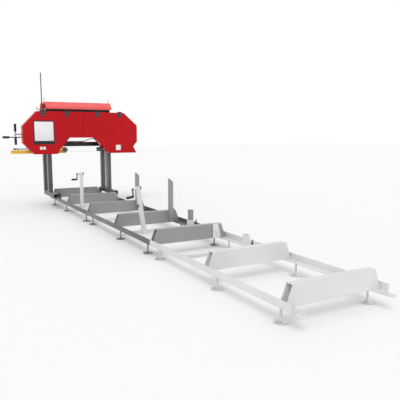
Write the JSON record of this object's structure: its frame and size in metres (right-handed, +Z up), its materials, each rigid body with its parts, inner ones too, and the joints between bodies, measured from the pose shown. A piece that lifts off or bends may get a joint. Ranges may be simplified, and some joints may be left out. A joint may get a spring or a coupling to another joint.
{
  "type": "portable band sawmill",
  "caption": "Portable band sawmill: a red saw head on a wheeled carriage that rolls along a raised track with bunks, log stops, side rests and screw clamps.",
  "frame": {"origin": "middle of the underside of the near left levelling foot, on the floor", "axes": "+Z up, +Y along the track from its near end to its far end, where the carriage rests, +X to the right across the track"},
  "size_m": [1.4902, 4.605, 1.524],
  "materials": {
    "red_paint": "gloss",
    "roof_paint": "gloss",
    "grey_paint": "satin",
    "post_steel": "satin",
    "pale_steel": "satin",
    "black_paint": "satin",
    "bright_steel": "satin",
    "dark_steel": "satin",
    "yellow_paint": "satin",
    "cast_grey": "matte",
    "motor_grey": "matte",
    "black_rubber": "matte",
    "black_plastic": "matte",
    "grey_cable": "matte"
  },
  "bodies": {
    "track": {"rail_left_near": "pale_steel", "rail_right_near": "pale_steel", "clamp_bar_near": "pale_steel", "rail_left_middle": "grey_paint", "rail_right_middle": "grey_paint", "clamp_bar_middle": "pale_steel", "rail_left_far": "grey_paint", "rail_right_far": "grey_paint", "clamp_bar_far": "pale_steel", "bunk_1": "grey_paint", "bunk_2": "grey_paint", "bunk_3": "grey_paint", "bunk_4": "grey_paint", "bunk_5": "grey_paint", "bunk_6": "pale_steel", "bunk_7": "pale_steel"},
    "log_stop_far": {"log_stop_far": "grey_paint"},
    "log_stop_middle": {"log_stop_middle": "grey_paint"},
    "side_rest_near": {"side_rest_near": "pale_steel"},
    "rest_screw_near": {"rest_screw_near": "dark_steel"},
    "side_rest_middle": {"side_rest_middle": "grey_paint"},
    "rest_screw_middle": {"rest_screw_middle": "dark_steel"},
    "clamp_post_far": {"clamp_post_far": "pale_steel"},
    "clamp_crank_far": {"clamp_crank_far": "black_paint"},
    "clamp_pad_far": {"clamp_pad_far": "dark_steel"},
    "clamp_post_middle": {"clamp_post_middle": "pale_steel"},
    "clamp_crank_middle": {"clamp_crank_middle": "black_paint"},
    "clamp_pad_middle": {"clamp_pad_middle": "dark_steel"},
    "carriage": {"side_frame_left": "post_steel", "side_frame_right": "post_steel", "top_beam": "post_steel", "roof_cover": "roof_paint", "mast": "post_steel", "lift_chain": "dark_steel"},
    "track_wheel_left_front": {"track_wheel_left_front": "dark_steel"},
    "track_wheel_left_rear": {"track_wheel_left_rear": "dark_steel"},
    "track_wheel_right_front": {"track_wheel_right_front": "dark_steel"},
    "track_wheel_right_rear": {"track_wheel_right_rear": "dark_steel"},
    "spindle_left": {"spindle_left": "bright_steel", "lift_crank": "bright_steel"},
    "spindle_right": {"spindle_right": "bright_steel"},
    "head": {"head_frame": "black_paint", "wheel_housing": "red_paint", "saw_band": "bright_steel", "motor": "motor_grey", "drive_belt": "black_rubber", "push_handle": "black_paint", "switch_box": "black_plastic", "beam_cable": "grey_cable"},
    "door_left": {"door_left": "red_paint"},
    "door_right": {"door_right": "red_paint"},
    "drive_shaft": {"drive_shaft": "dark_steel", "drive_wheel": "cast_grey"},
    "motor_pulley": {"motor_pulley": "dark_steel"},
    "tension_block": {"tension_block": "dark_steel"},
    "idler_wheel": {"idler_wheel": "cast_grey"},
    "tension_handle": {"tension_handle": "black_paint"},
    "guide_arm": {"guide_arm": "yellow_paint"},
    "guide_roller_left": {"guide_roller_left": "bright_steel"},
    "guide_roller_right": {"guide_roller_right": "bright_steel"}
  },
  "joints": [
    {"name": "carriage_travel", "type": "slide", "parent": "track", "child": "carriage", "axis": [0, 1, 0], "range_m": [-3.85, 0]},
    {"name": "left_front_wheel_spin", "type": "hinge", "parent": "carriage", "child": "track_wheel_left_front", "pos_m": [-0.0275, 3.933, 0.15], "axis": [-1, 0, 0], "continuous": true},
    {"name": "left_rear_wheel_spin", "type": "hinge", "parent": "carriage", "child": "track_wheel_left_rear", "pos_m": [-0.0275, 4.339, 0.15], "axis": [-1, 0, 0], "continuous": true},
    {"name": "right_front_wheel_spin", "type": "hinge", "parent": "carriage", "child": "track_wheel_right_front", "pos_m": [0.5755, 3.933, 0.15], "axis": [-1, 0, 0], "continuous": true},
    {"name": "right_rear_wheel_spin", "type": "hinge", "parent": "carriage", "child": "track_wheel_right_rear", "pos_m": [0.5755, 4.339, 0.15], "axis": [-1, 0, 0], "continuous": true},
    {"name": "head_lift", "type": "slide", "parent": "carriage", "child": "head", "axis": [0, 0, 1], "range_m": [-0.41, 0]},
    {"name": "left_spindle_turn", "type": "hinge", "parent": "carriage", "child": "spindle_left", "pos_m": [-0.078, 4.251, 0.1753], "axis": [0, 0, 1], "continuous": true},
    {"name": "right_spindle_turn", "type": "hinge", "parent": "carriage", "child": "spindle_right", "pos_m": [0.626, 4.251, 0.1753], "axis": [0, 0, 1], "continuous": true},
    {"name": "left_door_hinge", "type": "hinge", "parent": "head", "child": "door_left", "pos_m": [-0.033, 3.9845, 1.0925], "axis": [-1, 0, 0], "range_deg": [0, 100]},
    {"name": "right_door_hinge", "type": "hinge", "parent": "head", "child": "door_right", "pos_m": [0.585, 3.9845, 1.0925], "axis": [-1, 0, 0], "range_deg": [0, 100]},
    {"name": "drive_wheel_spin", "type": "hinge", "parent": "head", "child": "drive_shaft", "pos_m": [0.721, 4.036, 0.835], "axis": [0, 1, 0], "continuous": true},
    {"name": "motor_pulley_spin", "type": "hinge", "parent": "head", "child": "motor_pulley", "pos_m": [0.733, 4.132, 0.988], "axis": [0, 1, 0], "continuous": true},
    {"name": "tension_turn", "type": "hinge", "parent": "head", "child": "tension_handle", "pos_m": [-0.438, 4.13, 0.835], "axis": [1, 0, 0], "range_deg": [0, 1800]},
    {"name": "tension_slide", "type": "slide", "parent": "head", "child": "tension_block", "axis": [1, 0, 0], "range_m": [0, 0.02]},
    {"name": "idler_wheel_spin", "type": "hinge", "parent": "tension_block", "child": "idler_wheel", "pos_m": [-0.168, 4.036, 0.835], "axis": [0, 1, 0], "continuous": true},
    {"name": "guide_arm_slide", "type": "slide", "parent": "head", "child": "guide_arm", "axis": [1, 0, 0], "range_m": [0, 0.22]},
    {"name": "left_roller_spin", "type": "hinge", "parent": "guide_arm", "child": "guide_roller_left", "pos_m": [0.086, 4.036, 0.661], "axis": [0, 1, 0], "continuous": true},
    {"name": "right_roller_spin", "type": "hinge", "parent": "head", "child": "guide_roller_right", "pos_m": [0.488, 4.036, 0.661], "axis": [0, 1, 0], "continuous": true},
    {"name": "far_stop_fold", "type": "hinge", "parent": "track", "child": "log_stop_far", "pos_m": [0.471, 2.8475, 0.142], "axis": [0, 1, 0], "range_deg": [-90, 0]},
    {"name": "middle_stop_fold", "type": "hinge", "parent": "track", "child": "log_stop_middle", "pos_m": [0.471, 2.0975, 0.142], "axis": [0, 1, 0], "range_deg": [-90, 0]},
    {"name": "near_rest_lift", "type": "slide", "parent": "track", "child": "side_rest_near", "axis": [0, 0, 1], "range_m": [0, 0.035]},
    {"name": "near_rest_screw_turn", "type": "hinge", "parent": "track", "child": "rest_screw_near", "pos_m": [0.445, 0.896, 0.139], "axis": [1, 0, 0], "range_deg": [-360, 0]},
    {"name": "middle_rest_lift", "type": "slide", "parent": "track", "child": "side_rest_middle", "axis": [0, 0, 1], "range_m": [0, 0.035]},
    {"name": "middle_rest_screw_turn", "type": "hinge", "parent": "track", "child": "rest_screw_middle", "pos_m": [0.507, 1.766, 0.139], "axis": [1, 0, 0], "range_deg": [-360, 0]},
    {"name": "far_clamp_slide", "type": "slide", "parent": "track", "child": "clamp_post_far", "axis": [1, 0, 0], "range_m": [-0.023, 0.4]},
    {"name": "far_clamp_screw_turn", "type": "hinge", "parent": "clamp_post_far", "child": "clamp_crank_far", "pos_m": [0.046, 3.296, 0.4393], "axis": [1, 0, 0], "range_deg": [0, 2880]},
    {"name": "far_clamp_pad_slide", "type": "slide", "parent": "clamp_post_far", "child": "clamp_pad_far", "axis": [1, 0, 0], "range_m": [0, 0.04]},
    {"name": "middle_clamp_slide", "type": "slide", "parent": "track", "child": "clamp_post_middle", "axis": [1, 0, 0], "range_m": [-0.062, 0.35]},
    {"name": "middle_clamp_screw_turn", "type": "hinge", "parent": "clamp_post_middle", "child": "clamp_crank_middle", "pos_m": [0.03852, 1.766, 0.43605], "axis": [0.9903, 0, 0.1392], "range_deg": [0, 2880]},
    {"name": "middle_clamp_pad_slide", "type": "slide", "parent": "clamp_post_middle", "child": "clamp_pad_middle", "axis": [0.9903, 0, 0.1392], "range_m": [0, 0.04]}
  ],
  "couplings": [
    {"joint": "left_front_wheel_spin", "follows": "carriage_travel", "rad_per_m": 33.333},
    {"joint": "left_rear_wheel_spin", "follows": "carriage_travel", "rad_per_m": 33.333},
    {"joint": "right_front_wheel_spin", "follows": "carriage_travel", "rad_per_m": 33.333},
    {"joint": "right_rear_wheel_spin", "follows": "carriage_travel", "rad_per_m": 33.333},
    {"joint": "left_spindle_turn", "follows": "head_lift", "rad_per_m": 628.32},
    {"joint": "right_spindle_turn", "follows": "head_lift", "rad_per_m": 628.32},
    {"joint": "motor_pulley_spin", "follows": "drive_wheel_spin", "ratio": 2.7167},
    {"joint": "tension_slide", "follows": "tension_turn", "m_per_rad": 0.00063662},
    {"joint": "idler_wheel_spin", "follows": "drive_wheel_spin", "ratio": 1},
    {"joint": "far_clamp_pad_slide", "follows": "far_clamp_screw_turn", "m_per_rad": 0.00079577},
    {"joint": "middle_clamp_pad_slide", "follows": "middle_clamp_screw_turn", "m_per_rad": 0.00079577}
  ]
}
